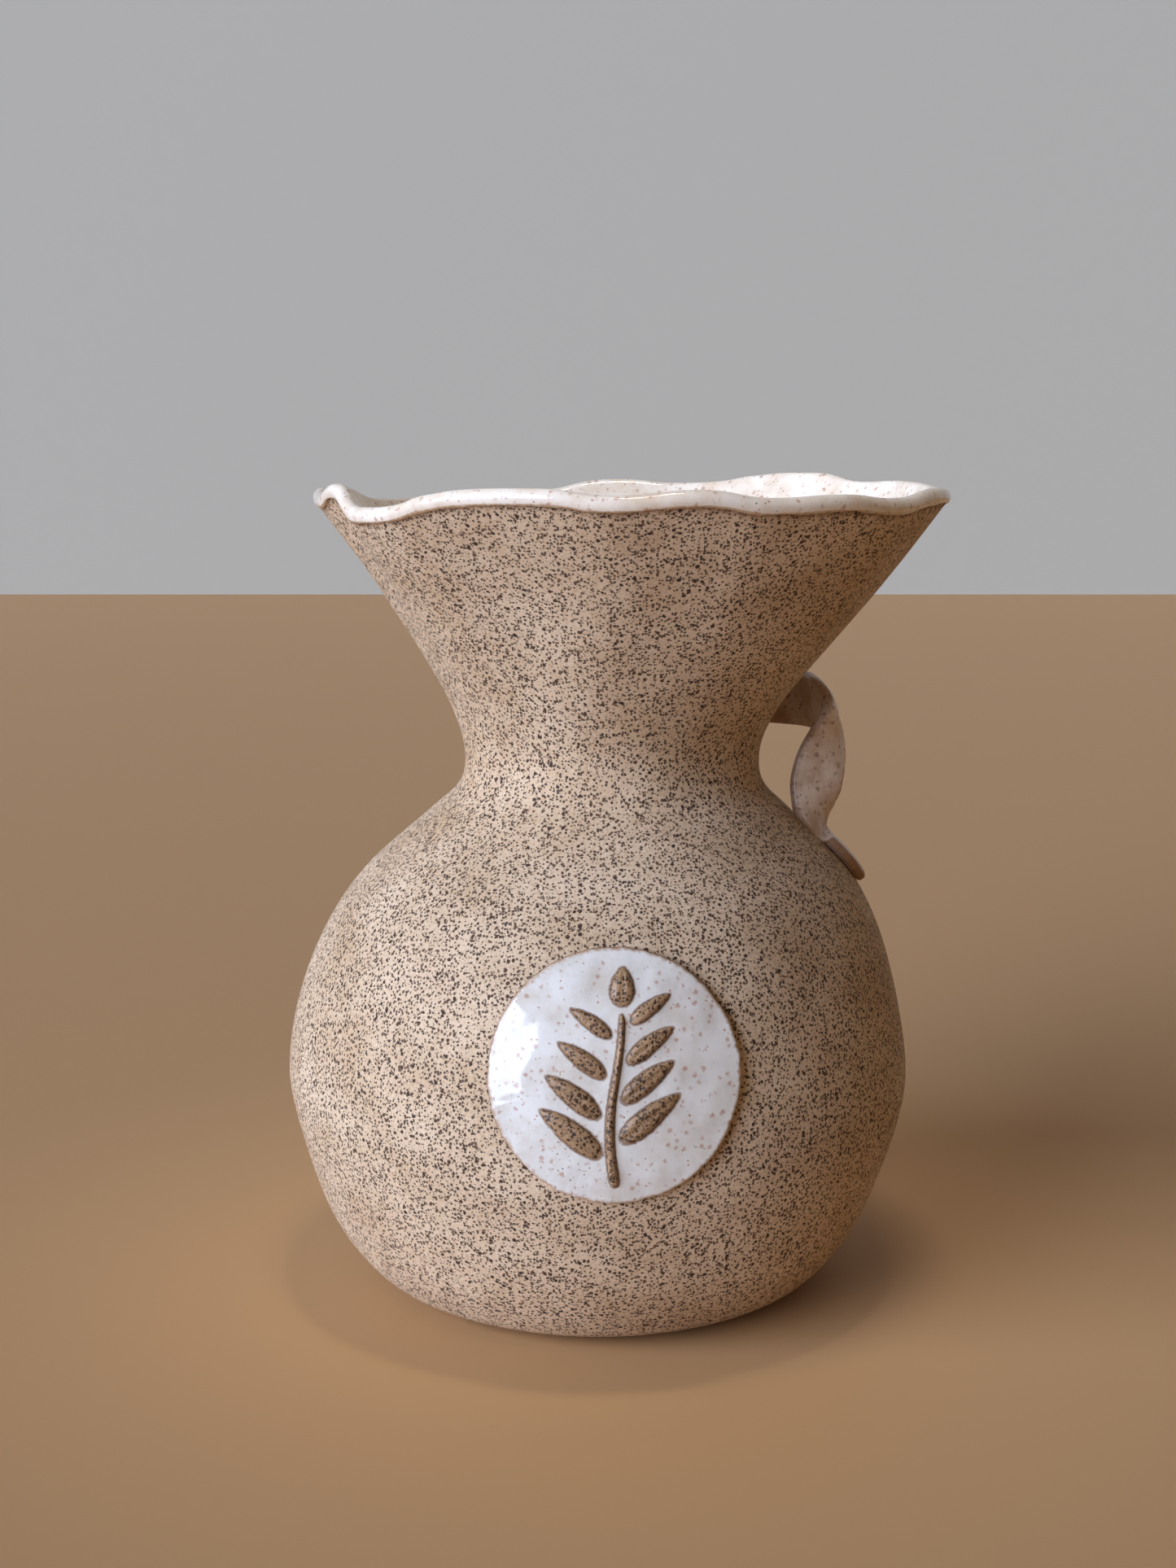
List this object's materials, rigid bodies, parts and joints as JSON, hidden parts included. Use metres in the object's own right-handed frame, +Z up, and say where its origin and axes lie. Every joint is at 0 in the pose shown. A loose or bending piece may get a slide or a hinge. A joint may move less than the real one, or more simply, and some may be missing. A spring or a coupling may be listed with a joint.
{
  "type": "stoneware jug",
  "caption": "Handmade stoneware jug with a round belly, tight neck, wide flared wavy collar, twisted strap handle and a glazed medallion with a raised leaf sprig.",
  "frame": {"origin": "centre of the flat foot, on the surface that the jug stands on", "axes": "+Z up; -Y towards the front, where the medallion is; +X towards the handle"},
  "size_m": [0.1829, 0.1773, 0.2256],
  "materials": {
    "bare_stoneware": "unglazed speckled stoneware, matte",
    "white_glaze": "glossy white glaze with fine brown specks",
    "strap_glaze": "thin pinkish-white glaze breaking to brown at the edges, satin",
    "relief_clay": "bare brown clay with a slight sheen"
  },
  "bodies": {
    "root": {"stoneware_body": "bare_stoneware", "liner_glaze": "white_glaze", "handle_strap": "strap_glaze", "medallion_disc": "bare_stoneware", "medallion_glaze": "white_glaze", "sprig_stem": "relief_clay", "sprig_leaf_left_1": "relief_clay", "sprig_leaf_right_1": "relief_clay", "sprig_leaf_left_2": "relief_clay", "sprig_leaf_right_2": "relief_clay", "sprig_leaf_left_3": "relief_clay", "sprig_leaf_right_3": "relief_clay", "sprig_leaf_left_4": "relief_clay", "sprig_leaf_right_4": "relief_clay", "sprig_bud": "relief_clay"}
  },
  "joints": []
}
